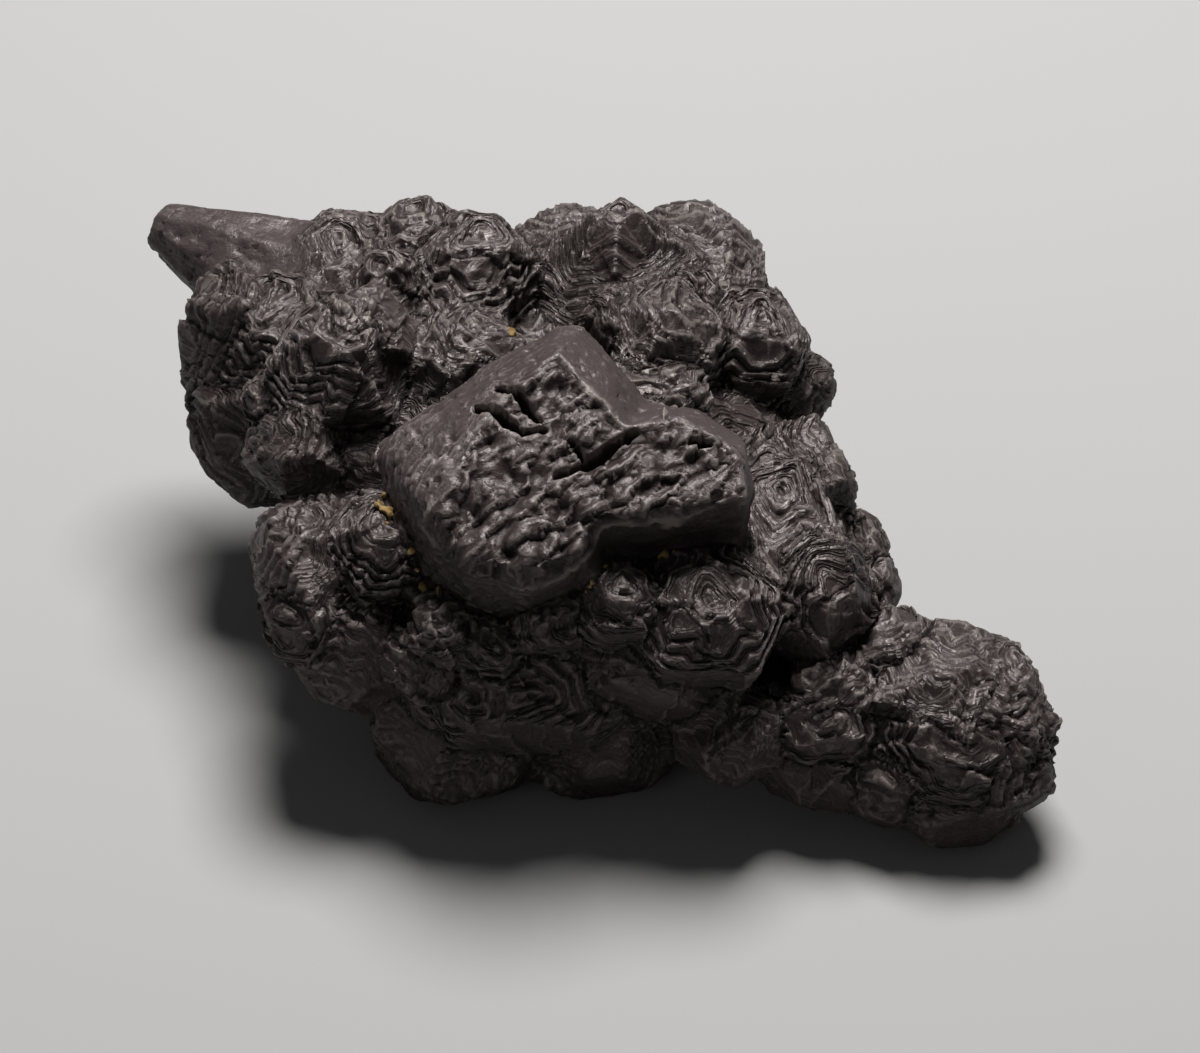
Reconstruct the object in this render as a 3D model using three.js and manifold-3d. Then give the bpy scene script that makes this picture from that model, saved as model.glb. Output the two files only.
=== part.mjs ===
// A prophecy stone: one concretion of intergrown, blunt crystal lumps round a star-shaped twin.
// Millimetres, +Z up, +X along the stone's length. The origin is on the ground under the middle of the stone.
import * as THREE from "three";
import { ConvexGeometry } from "three/addons/geometries/ConvexGeometry.js";
import { ConvexHull } from "three/addons/math/ConvexHull.js";
import { mergeVertices } from "three/addons/utils/BufferGeometryUtils.js";
import Module from "manifold-3d";

// The finished stone's box. Everything below is laid out at about this size and then fitted to it.
const LENGTH = 69;
const WIDTH = 48;
const HEIGHT = 32;

const UP = new THREE.Vector3(0, 0, 1);
const GROUND_DEPTH = 40;
const SAME_VERTEX = 1e-4;

// How a lump is chipped: rings of flat faces at polar degrees from its growth direction, each out of true by
// up to the jitter. A face lies at FACE_DEPTH of the lump's half size.
const FACE_RINGS = [
  { polar: 0, count: 1 },
  { polar: 48, count: 6 },
  { polar: 90, count: 6 },
  { polar: 132, count: 6 },
  { polar: 180, count: 1 },
];
const POLAR_JITTER = 8;
const AROUND_JITTER = 10;
const FACE_DEPTH = [0.8, 1.0];
const SAME_CORNER = 0.02;
const SEEDS_PER_CLUSTER = 20;

// The star twin: two plates in one rough face that leans forward by STAR_LEAN degrees, a body with its crown,
// shoulder and chin, and an arm to the right. Each corner is how far along, how far up the face and, off the
// face, how deep under it, from the star's centre.
const STAR_CENTRE = [-1.5, -9.5, 29];
const STAR_LEAN = 25;
const STAR_PLATES = {
  body: {
    face: [
      [-0.5, 7.5], [-3.5, 5], [-6, 1], [-8.5, -4], [-8.5, -6.5], [-6, -9], [-2, -9.5], [1, -8.5], [4.5, 1],
    ],
    back_flank: [[-0.5, 11, 3], [1.5, 11, 3], [-9, 6, 4.5], [6.5, 5, 4]],
    left_flank: [[-13.5, 1.5, 3.5], [-13, -3.5, 6]],
    front_flank: [[-7, -10.5, 8], [-3, -11, 8], [3.5, -8, 8]],
    root: [[0, 0, 14]],
  },
  arm: {
    face: [[0, -6], [2, 0.5], [4.5, 1], [7.5, 2], [10.5, 1], [12.8, -1], [12.8, -3.8], [6, -5.2]],
    back_flank: [[5.5, 5, 3.5], [10, 4.5, 3.5], [13, 2, 3.5], [14, -1.5, 5]],
    front_flank: [[13, -5, 8], [6, -6.5, 8]],
    root: [[5, 0, 13]],
  },
};

// The horn at the back left corner: a many-sided taper from a broad base to a blunt tip.
const HORN = { from: [-15.5, 14, 19], to: [-33.5, 21.5, 24.5], baseHalf: 9.5, tipHalf: 1.8, sides: 9 };

// Hewn blocks: boxes that narrow upwards to topShare of their width, turned about the upright, then leant
// forward, both in degrees.
const BLOCKS = {
  dome: { at: [2.6, 13.7, 28], half: [6.9, 6.3, 3.8], topShare: 0.2, turn: 42, lean: 0 },
  prism: { at: [15.5, -0.5, 15.5], half: [4.2, 4.4, 4.8], topShare: 0.8, turn: 20, lean: 8 },
  long: { at: [15, -6, 14.5], half: [4.8, 8, 6], topShare: 0.62, turn: 20, lean: 16 },
};

// Clusters of lumps. A lump's at is its place from its cluster's own, half its half sizes across, across and
// along the way it grew, and grows that way.
const CLUSTERS = {
  heart: {
    at: [0, 0, 14],
    lumps: {
      middle: { at: [-1, 0, 0.5], half: [18, 12, 11], grows: [0, 0, 1] },
      left: { at: [-15, 3, 2], half: [9, 9, 8], grows: [-1, 0, 1] },
      right: { at: [12, -5, -2], half: [9, 9, 8], grows: [1, -1, 0] },
      back: { at: [0, 10, 3], half: [13, 8, 9], grows: [0, 1, 0] },
      star_seat: { at: [-1, -5, 7.5], half: [11, 8, 6.5], grows: [0, 0, 1] },
    },
  },
  back_left: {
    at: [-22, 13, 19],
    lumps: {
      shelf: { at: [3.5, 3, 4.5], half: [6, 6, 5.2], grows: [-0.1, -0.1, 1] },
      shelf_rear: { at: [6, 6, 3], half: [4.5, 4.5, 4], grows: [0.1, 0.2, 1] },
      wall: { at: [-3.5, -1, -2], half: [5.4, 6, 11], grows: [-0.2, -0.1, 1] },
      fill: { at: [0, -2, -1], half: [6.5, 6.5, 10], grows: [-0.15, -0.15, 1] },
      heel: { at: [-3, -5, -4.5], half: [5, 5, 8], grows: [-0.3, -0.2, 1] },
    },
  },
  left_stack: {
    at: [-18, 4, 22],
    lumps: {
      column: { at: [-0.3, 0, -0.2], half: [5.6, 5.8, 8.6], grows: [0.1, -0.25, 1] },
      cap: { at: [1.2, 0.4, 5], half: [4, 4, 3.8], grows: [0.1, -0.4, 1] },
      lower: { at: [-2, -3.5, -3], half: [5.2, 4.6, 6], grows: [-0.3, -0.6, 1] },
      bump: { at: [-5, -1, 0], half: [2.6, 2.8, 2.6], grows: [-0.6, -0.2, 0.8] },
    },
  },
  back_middle: {
    at: [-10, 11, 25],
    lumps: {
      main: { at: [1, 1.5, 0.5], half: [5.2, 5.5, 5.5], grows: [0.2, -0.1, 1] },
      peak: { at: [-2.5, 5, 1.5], half: [4, 4, 3.6], grows: [-0.2, 0.1, 1] },
      bud: { at: [-4.5, 0, 0.5], half: [2.8, 3.2, 5], grows: [-0.2, -0.3, 1] },
      low: { at: [1, -7, 0], half: [4.6, 4, 3.8], grows: [-0.1, -0.6, 0.9] },
    },
  },
  dome: {
    at: [4, 16, 24],
    lumps: {
      left: { at: [-5, 0.5, 0.5], half: [4.2, 5, 4.8], grows: [-0.4, 0.1, 1] },
      right: { at: [5, 1.5, -0.5], half: [5, 5.4, 5], grows: [0.3, 0.1, 1] },
      edge: { at: [7, 0, -3], half: [3.4, 3.6, 3.6], grows: [0.8, 0, 0.5] },
      middle: { at: [3, -4, 0], half: [4, 4, 3.4], grows: [0.1, -0.4, 0.9] },
    },
  },
  rosette: {
    at: [5, 6, 25],
    lumps: {
      flower: { at: [1, 0, 0], half: [4.8, 4.6, 4.6], grows: [0.05, -0.6, 0.85] },
      bud: { at: [-3.5, 1, 1], half: [2.4, 2.6, 2.8], grows: [-0.1, -0.5, 0.9] },
      foot: { at: [0, -4, -1.5], half: [4.4, 3.4, 2.8], grows: [0, -0.6, 0.8] },
    },
  },
  right_side: {
    at: [14, 4, 18],
    lumps: {
      shoulder: { at: [-1, 5, 4], half: [4.2, 4.8, 4.6], grows: [0.2, -0.3, 1] },
      rim_high: { at: [0, 8, 1], half: [3, 3.8, 3.8], grows: [1, 0.1, 0.4] },
      rim_low: { at: [1, 5, 0], half: [3.2, 4.4, 4.4], grows: [1, 0.1, 0.2] },
      long_end: { at: [2.5, -14.5, -2.5], half: [4.8, 5, 5.2], grows: [0.1, -0.3, 1] },
      bump: { at: [5, -7, -5.5], half: [3.2, 3.6, 3.8], grows: [0.9, -0.1, 0.5] },
      small_bump: { at: [7, -10, -6.5], half: [2.4, 2.8, 2.8], grows: [0.9, 0, 0.5] },
    },
  },
  arm: {
    at: [26, -16, 8],
    lumps: {
      root: { at: [-3, 3, 3.5], half: [3.6, 3.6, 3.6], grows: [-0.2, -0.4, 1] },
      top: { at: [0.5, 1.2, 1.5], half: [6.6, 5.6, 5.6], grows: [0.1, -0.1, 1] },
      ridge: { at: [3.6, 0.2, 0.8], half: [4.6, 5, 5], grows: [0.4, 0.1, 1] },
      right: { at: [5, -1.5, 0], half: [3.4, 3.8, 3.8], grows: [0.8, 0.1, 0.6] },
      face: { at: [1, -1.8, -1], half: [6.8, 5.2, 5.4], grows: [0.1, -0.7, 0.7] },
      tip: { at: [4.5, -3, -2.5], half: [4, 4, 3.8], grows: [0.8, -0.5, 0.1] },
      under: { at: [1, -3, -4.5], half: [5.4, 4.4, 4.2], grows: [0, -0.7, -0.7] },
      heel: { at: [-3.5, -2.5, -3.5], half: [4, 4, 4], grows: [-0.3, -0.8, -0.5] },
    },
  },
  neck: {
    at: [17, -16, 8],
    lumps: {
      high: { at: [1, 0, 3], half: [3.4, 3.2, 2.8], grows: [0, -0.3, 1] },
      middle: { at: [1, -1, 0.5], half: [4, 3.6, 3.6], grows: [0, -1, 0] },
      low: { at: [1, -1.5, -3], half: [4.6, 4, 4], grows: [0, -1, -0.2] },
      knob: { at: [-6, -1.5, 0], half: [4.2, 4.2, 4.4], grows: [0, -1, 0.2] },
    },
  },
  front: {
    at: [3, -14, 15],
    lumps: {
      block: { at: [5.5, -0.5, 2], half: [6.2, 5.2, 5], grows: [0.1, -0.5, 0.9] },
      under_block: { at: [2, 0, -2], half: [6, 5.6, 5.6], grows: [0.1, -0.9, 0.3] },
      rods: { at: [-0.5, -1, 3.5], half: [3.2, 3.4, 3.6], grows: [0, -0.4, 1] },
      ridge: { at: [-6, -1, 2.5], half: [3.4, 3.2, 3.2], grows: [0, -0.5, 1] },
      bud: { at: [-13, -2, 2], half: [2.4, 2.6, 2.8], grows: [0, -0.6, 0.8] },
      knob: { at: [-10, -2.5, 1], half: [2.8, 2.8, 2.8], grows: [0.1, -0.6, 0.8] },
      shelf: { at: [-14, -2, -1.5], half: [3.6, 3.4, 3], grows: [-0.1, -0.6, 0.8] },
      belly: { at: [-8, 0, -4.5], half: [9, 6.5, 6.5], grows: [0, -0.9, -0.3] },
    },
  },
  lower_left: {
    at: [-19, -9, 15],
    lumps: {
      block: { at: [4.5, -0.5, 3.5], half: [3.8, 4.4, 5], grows: [0.1, -0.3, 1] },
      knob: { at: [-1, 0.5, 1.5], half: [4.8, 5.2, 5], grows: [-0.4, -0.2, 1] },
      lip: { at: [-1, -3, 0], half: [4.2, 4, 3.6], grows: [-0.4, -0.6, 0.7] },
      under: { at: [1.5, -3.5, -2.5], half: [5, 5, 4.8], grows: [-0.4, -0.8, -0.2] },
      bottom: { at: [2, -1, -6.5], half: [4, 4.8, 3.6], grows: [-0.8, -0.4, 0] },
      fill: { at: [5, 2, -4], half: [6, 6, 6], grows: [-0.5, -0.5, 0] },
    },
  },
  feet: {
    at: [0, 0, 5],
    lumps: {
      front_left: { at: [-10, -14.5, -0.5], half: [6.8, 5.4, 5.2], grows: [-0.3, -0.8, -0.4] },
      front_middle: { at: [1, -14, -0.2], half: [6.8, 5.4, 5.6], grows: [0.1, -0.8, -0.4] },
      back_left: { at: [-9, 9, 1.5], half: [9, 7.5, 8], grows: [0, 0.5, -0.8] },
      back_right: { at: [8, 8, 2], half: [8.5, 7.5, 8], grows: [0.5, 0.6, -0.5] },
    },
  },
  back_low: {
    at: [-1, 15, 14],
    lumps: {
      left: { at: [-14, -2, 0], half: [6, 5.5, 6], grows: [-0.4, 0.8, -0.1] },
      middle_left: { at: [-6, 2, 1], half: [5.5, 5, 5.5], grows: [-0.1, 1, 0.1] },
      middle_right: { at: [3.5, 2.5, -1], half: [5.5, 5, 5.5], grows: [0.1, 1, -0.2] },
      right: { at: [12, -2, 0], half: [5.5, 5.5, 5.5], grows: [0.6, 0.8, 0] },
    },
  },
};

/** A repeatable stream of numbers from 0 to 1 (mulberry32). */
function randomStream(seed) {
  let state = seed;
  return () => {
    state = (state + 0x6d2b79f5) | 0;
    let t = Math.imul(state ^ (state >>> 15), 1 | state);
    t = (t + Math.imul(t ^ (t >>> 7), 61 | t)) ^ t;
    return ((t ^ (t >>> 14)) >>> 0) / 4294967296;
  };
}

/** The corners of the block that a unit ball becomes when flat faces are chipped off it, ring by ring. */
function chippedBall(random) {
  const spread = (amount) => THREE.MathUtils.degToRad((random() * 2 - 1) * amount);
  const turn = random() * Math.PI;
  const duals = FACE_RINGS.flatMap(({ polar, count }) =>
    Array.from({ length: count }, (_, i) => {
      const around = turn + (i / count) * 2 * Math.PI + spread(AROUND_JITTER);
      const down = THREE.MathUtils.degToRad(polar) + spread(POLAR_JITTER);
      const depth = THREE.MathUtils.lerp(...FACE_DEPTH, random());
      return new THREE.Vector3().setFromSphericalCoords(1 / depth, down, around);
    }),
  );
  const hull = new ConvexHull().setFromPoints(duals);
  const corners = hull.faces.map(({ normal, constant }) => normal.clone().divideScalar(constant));
  const isNew = (corner, i) => corners.slice(0, i).every((other) => other.distanceTo(corner) > SAME_CORNER);
  return corners.filter(isNew);
}

function lumpGeometry(clusterAt, { at, half, grows }, seed) {
  const middle = new THREE.Vector3(...clusterAt).add(new THREE.Vector3(...at));
  const toGrowth = new THREE.Quaternion().setFromUnitVectors(UP, new THREE.Vector3(...grows).normalize());
  const corners = chippedBall(randomStream(seed));
  for (const corner of corners) {
    corner.set(corner.x * half[0], corner.z * half[1], corner.y * half[2]);
    corner.applyQuaternion(toGrowth).add(middle);
  }
  return new ConvexGeometry(corners);
}

function blockGeometry({ at, half: [x, y, z], topShare, turn, lean }) {
  const corners = [];
  for (const [level, share] of [[-z, 1], [z, topShare]]) {
    for (const [side, end] of [[-1, -1], [-1, 1], [1, -1], [1, 1]]) {
      corners.push(new THREE.Vector3(side * x * share, end * y * share, level));
    }
  }
  return new ConvexGeometry(corners)
    .rotateZ(THREE.MathUtils.degToRad(turn))
    .rotateX(THREE.MathUtils.degToRad(lean))
    .translate(...at);
}

/** One plate of the star, the hull of its corners, leant forward about the star's centre. */
function plateGeometry(plate) {
  const corners = Object.values(plate).flat();
  return new ConvexGeometry(corners.map(([along, up, depth = 0]) => new THREE.Vector3(along, up, -depth)))
    .rotateX(THREE.MathUtils.degToRad(STAR_LEAN))
    .translate(...STAR_CENTRE);
}

function hornGeometry({ from, to, baseHalf, tipHalf, sides }) {
  const start = new THREE.Vector3(...from);
  const end = new THREE.Vector3(...to);
  const toAxis = new THREE.Quaternion().setFromUnitVectors(UP, end.clone().sub(start).normalize());
  const ring = (middle, half) =>
    Array.from({ length: sides }, (_, i) => {
      const around = (i / sides) * 2 * Math.PI;
      return new THREE.Vector3(Math.cos(around) * half, Math.sin(around) * half, 0)
        .applyQuaternion(toAxis)
        .add(middle);
    });
  return new ConvexGeometry([...ring(start, baseHalf), ...ring(end, tipHalf)]);
}

const wasm = await Module();
wasm.setup();

function toSolid(geometry) {
  const bare = geometry.clone().deleteAttribute("normal").deleteAttribute("uv");
  const merged = mergeVertices(bare, SAME_VERTEX);
  const mesh = new wasm.Mesh({
    numProp: 3,
    vertProperties: merged.getAttribute("position").array,
    triVerts: new Uint32Array(merged.index.array),
  });
  return new wasm.Manifold(mesh);
}

function toGeometry(solid) {
  const mesh = solid.getMesh();
  const geometry = new THREE.BufferGeometry();
  geometry.setAttribute("position", new THREE.BufferAttribute(mesh.vertProperties, 3));
  geometry.setIndex(new THREE.BufferAttribute(mesh.triVerts, 1));
  return geometry;
}

/** The largest shell of a solid: hollows sealed in between lumps are closed up, as the stone is massive. */
function outerSkin(solid) {
  return solid.decompose().reduce((most, next) => (next.volume() > most.volume() ? next : most));
}

/** All the lumps grown into one, and cut off flat where the stone stands. */
function stoneGeometry() {
  const lumps = Object.values(CLUSTERS).flatMap((cluster, clusterIndex) =>
    Object.values(cluster.lumps).map((lump, lumpIndex) =>
      lumpGeometry(cluster.at, lump, clusterIndex * SEEDS_PER_CLUSTER + lumpIndex),
    ),
  );
  const shapes = [
    ...lumps,
    ...Object.values(STAR_PLATES).map(plateGeometry),
    ...Object.values(BLOCKS).map(blockGeometry),
    hornGeometry(HORN),
  ];
  const joined = shapes.map(toSolid).reduce((all, next) => all.add(next));
  const ground = new THREE.BoxGeometry(4 * LENGTH, 4 * WIDTH, GROUND_DEPTH);
  ground.translate(0, 0, -GROUND_DEPTH / 2);
  return toGeometry(outerSkin(joined.subtract(toSolid(ground))));
}

/** Scales a geometry that stands on z = 0 to the driving dimensions and centres it over the origin. */
function fitToSize(geometry) {
  geometry.computeBoundingBox();
  const size = geometry.boundingBox.getSize(new THREE.Vector3());
  const middle = geometry.boundingBox.getCenter(new THREE.Vector3());
  return geometry
    .translate(-middle.x, -middle.y, -geometry.boundingBox.min.z)
    .scale(LENGTH / size.x, WIDTH / size.y, HEIGHT / size.z);
}

const stone = new THREE.Mesh(
  fitToSize(stoneGeometry()),
  new THREE.MeshStandardMaterial({ color: 0x2b2524, roughness: 0.45, metalness: 0.25 }),
);
stone.name = "stone";

const prophecyStone = new THREE.Group();
prophecyStone.add(stone);
export default prophecyStone;
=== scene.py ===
"""A prophecy stone: blunt crystal lumps, stepped by growth, grown together round a star-shaped twin.

The CAD solid gives every lump's place. Its faces are flooded into lumps, and each lump gets the axis that it
grew along. One Geometry Nodes tree then bends the plain skin and tells its rough places from its smooth ones.
Another one raises the growth steps, the star's rough face with its slots, and the flanks and the horn.
"""
import math

import bmesh
import bpy
import numpy as np
from mathutils import Euler, Matrix, Vector, noise
from mathutils.bvhtree import BVHTree


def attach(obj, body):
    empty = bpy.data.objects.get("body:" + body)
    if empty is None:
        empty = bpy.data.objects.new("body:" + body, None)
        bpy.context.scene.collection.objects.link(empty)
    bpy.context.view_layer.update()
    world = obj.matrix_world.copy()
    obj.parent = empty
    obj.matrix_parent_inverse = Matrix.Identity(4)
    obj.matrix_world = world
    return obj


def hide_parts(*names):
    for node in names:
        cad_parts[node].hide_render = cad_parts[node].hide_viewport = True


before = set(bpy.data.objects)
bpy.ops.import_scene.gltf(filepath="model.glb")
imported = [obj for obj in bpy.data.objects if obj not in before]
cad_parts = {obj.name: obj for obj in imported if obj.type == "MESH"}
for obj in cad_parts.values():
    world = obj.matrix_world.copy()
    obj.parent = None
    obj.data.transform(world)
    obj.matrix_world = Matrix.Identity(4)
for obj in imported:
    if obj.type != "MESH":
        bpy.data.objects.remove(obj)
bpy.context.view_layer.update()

# Lengths are in millimetres while the stone and its clay are made, and their meshes are scaled to metres at
# the end. WELD, within which two points of the solid are one, is in metres.
MM = 0.001
WELD = 1e-7

# Reading the lumps off the solid: angles in degrees and areas in square millimetres. A lump grew more upwards
# than it faces, by UPWARD_PULL, unless it faces down more than LOWEST_PULLED. It is hewn if it has only a few
# large facets. The star's face is the largest facet that looks up by at least STAR_LEAST_LIFT, with all faces
# that lie within STAR_FACE_LEVEL of its plane and look its way.
FLAT_DEGREES = 0.5
CREASE_DEGREES = 4.0
SMALLEST_LUMP = 9.0
SMALLEST_FACET = 2.0
UPWARD_PULL = 0.55
LOWEST_PULLED = -0.3
HEWN_FACETS = 6
HEWN_FACET_AREA = 14.0
STAR_LEAST_LIFT = 0.5
STAR_FACE_LEVEL = 0.03
STAR_FACE_AGREES = 0.5
TURN_SEED = 7

# How boldly a facet is stepped: the least, as a share of the boldest, how much chance and looking up add, and
# how much of it a hewn lump keeps.
PLAINEST = 0.15
CHANCE_BOLDNESS = 1.3
LIFT_BOLDNESS = 0.6
HEWN_BOLDNESS = 0.45
BOLD_SEED = 9

# Skin that looks down is underside from this height down, and wholly so this much lower.
UNDER_TOP = 8.0
UNDER_DEPTH = 6.0

# How many rounds of blurring soften the borders of what is stored on the plain skin, and what is stored where
# there is no rim and no slot.
BLUR_ROUNDS = {"bold": 2, "inset": 1, "star": 3, "horn": 6}
NO_RIM = -20.0
NO_SLOT = 9.0

# The star's slots: their ways from end to end, as shares of the box of the star's face, and their widths. At
# its middle a slot reaches SLOT_REACH of its width to either side. Away from there it narrows, at most to
# THINNEST_SLOT of that.
SLOTS = [
    {"along": [0.17, 0.23, 0.28, 0.33], "up": [0.84, 0.81, 0.73, 0.66], "width": 0.62},
    {"along": [0.11, 0.16, 0.21, 0.27, 0.34], "up": [0.75, 0.73, 0.66, 0.61, 0.62], "width": 0.7},
    {"along": [0.64, 0.57, 0.48, 0.38], "up": [0.62, 0.55, 0.47, 0.41], "width": 0.85},
    {"along": [0.42, 0.47], "up": [0.57, 0.48], "width": 0.4},
    {"along": [0.81, 0.89], "up": [0.57, 0.56], "width": 0.5},
]
SLOT_REACH = 0.7
THINNEST_SLOT = 0.1

# Where clay is caught: the direction from the middle of the star's face in degrees, how far out, and how many
# crumbs. They lie within CLAY_REACH of there, at most CLAY_LOWEST below the star's face, on the first of
# CLAY_DEEPEST equal parts of the skin there. The deepest creases come first, and one between the star and
# another lump counts as a millimetre deeper.
CLAY = [
    (186, 14.5, 12), (203, 11.7, 14), (213, 11.3, 8), (322, 8.8, 4),
    (285, 7.0, 4), (24, 12.8, 4), (103, 16.5, 16),
]
CLAY_REACH = 1.6
CLAY_LOWEST = 9.0
CLAY_DEEPEST = 4
CRUMB_SIZES = (0.14, 0.34)
CRUMB_STRETCH = (0.6, 1.4)
CRUMB_PROUD = 0.3
CRUMB_SPREAD = 0.12
CLAY_VOXEL = 0.11
CLAY_ROUGHNESS = 0.16
CLAY_GRAIN = 2.2
CLAY_SEED = 11

# Skin where the star meets another lump: how much it is the star's own, give or take how much, and the most
# that it may be where clay lies.
CONTACT = 0.4
CONTACT_BAND = 0.35
MOST_STAR = 0.7

# The skin that the relief is raised on: the voxels of the rough skin, how far the lumps swell to close the
# crevices between them, the rounds of blurring that even out the swelling and that blunt the skin, the voxels
# of the fine skin, and the most triangles that are left in the end.
ROUGH_VOXEL = 0.22
CREVICE_REACH = 0.8
SWELL_ROUNDS = 2
BLUNT_ROUNDS = 1
SKIN_VOXEL = 0.18
MOST_TRIANGLES = 196_000

# What the relief reads off the nearest place on the plain skin.
SKIN_VALUES = {
    "grown": "FLOAT_VECTOR", "axis": "FLOAT_VECTOR", "bold": "FLOAT", "inset": "FLOAT", "smooth": "FLOAT",
    "face": "FLOAT", "star": "FLOAT", "horn": "FLOAT", "rim": "FLOAT", "slot": "FLOAT", "line": "FLOAT",
    "under": "FLOAT",
}

# Over how many rounds of blurring the skin is sharpened, and its lift, edges and crevices are measured.
SHARPEN_ROUNDS = 3
LIFT_ROUNDS = 4
EDGE_ROUNDS = 3
CREVICE_ROUNDS = 40

# The growth layers: how far they wander and over what distance, how fast they rise in from a facet's outline,
# how far a bud shifts them, as a share of its size, and how steeply it domes them.
DRIFT = 0.35
DRIFT_SIZE = 5.0
INSET_RISE = 0.8
BUD_SHIFT = 0.2
BUD_DOME = 0.12

# Flakes lie this way in a lump's frame. Their cells are squeezed by these amounts along it, across it and
# through it, so a small one makes them long. The star's face has large and small ones, the lumps broad ones.
FLAKE_WAY = (0.83, 0.56)
FLAKE_SQUEEZE = (0.6, 1.15, 0.4)
FLAKE_SIZE = 1.7
SMALL_FLAKE_SIZE = 0.8
CRUMPLE_SIZE = 2.6

# Pale growth lines: the size of their buds, and how far apart they are.
LINE_BUD = 2.0
LINE_STEP = 0.45
SMALL_LINE_BUD = 1.0
SMALL_LINE_STEP = 0.28

# Patterns of one kind are read apart from each other by these, so that they don't repeat.
SMALL_BUDS_AT = (31.0, 0.0, 0.0)
CRUMPLE_AT = (0.0, 0.0, 29.0)
SMALL_FLAKES_AT = (17.0, 0.0, 0.0)
FLAKE_STRENGTH_AT = (0.0, 50.0, 0.0)
BROKEN_LINE_AT = (40.0, 0.0, 0.0)
SMALL_LINES_AT = (7.0, 0.0, 0.0)

# The stone's colours, from its darkest to its palest marks, among them painted shade, light and highlights,
# and the clay's.
CREVICE_SHADE = (0.012, 0.007, 0.006, 1)
DARK_IRON = (0.013, 0.0085, 0.008, 1)
BROWN_IRON = (0.024, 0.0165, 0.0155, 1)
PAINTED_TOP_LIGHT = (0.076, 0.057, 0.053, 1)
SMOOTH_TONE_AND_LIGHT = (0.105, 0.08, 0.082, 1)
GROWTH_LINE_HIGHLIGHTS = (0.19, 0.16, 0.145, 1)
RIM_LINE = (0.22, 0.19, 0.17, 1)
WORN_EDGE_HIGHLIGHTS = (0.24, 0.205, 0.19, 1)
PALE_FLECK_GLINTS = (0.25, 0.22, 0.21, 1)
WARM_GLOSS = (1.0, 0.9, 0.88, 1)
DARK_CLAY = (0.20, 0.115, 0.035, 1)
PALE_CLAY = (0.42, 0.29, 0.12, 1)

# The studio, in metres and degrees, with the camera's lens and sensor in millimetres.
FLOOR_SIZE = 3.0
FLOOR_COLOUR = (0.50, 0.49, 0.48, 1)
SKY_COLOUR = (0.9, 0.93, 1.0, 1)
SKY_STRENGTH = 0.04
SOFTBOX = {"at": (0.02, 0.17, 0.42), "size": 0.20, "power": 2.6}
FRONT_FILL = {"at": (-0.25, -0.35, 0.22), "size": 0.25, "power": 0.05}
LIT_PLACE = (0, 0, 0.01)
CAMERA_TARGET = (0.001, -0.0035, 0.015)
CAMERA_ELEVATION = 42
CAMERA_DISTANCE = 0.28
CAMERA_LENS = 112
CAMERA_SENSOR = 36
CAMERA_NEAREST = 0.01


# ---------------------------------------------------------------------------------------------------------
# Node trees
# ---------------------------------------------------------------------------------------------------------


class Field:
    """A value that comes out of a node. The operators add the math nodes that join it to other values."""

    def __init__(self, maker, socket):
        self.maker = maker
        self.socket = socket

    def __add__(self, other):
        return self.maker.join("ADD", self, other)

    def __sub__(self, other):
        return self.maker.join("SUBTRACT", self, other)

    def __mul__(self, other):
        return self.maker.join("MULTIPLY", self, other)

    def __truediv__(self, other):
        return self.maker.join("DIVIDE", self, other)

    def __pow__(self, other):
        return self.maker.math("POWER", self, other)

    __radd__ = __add__

    def __rsub__(self, other):
        return self.maker.join("SUBTRACT", other, self)

    def __rtruediv__(self, other):
        return self.maker.join("DIVIDE", other, self)

    @property
    def is_vector(self):
        return self.socket.type in {"VECTOR", "RGBA"}


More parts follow.
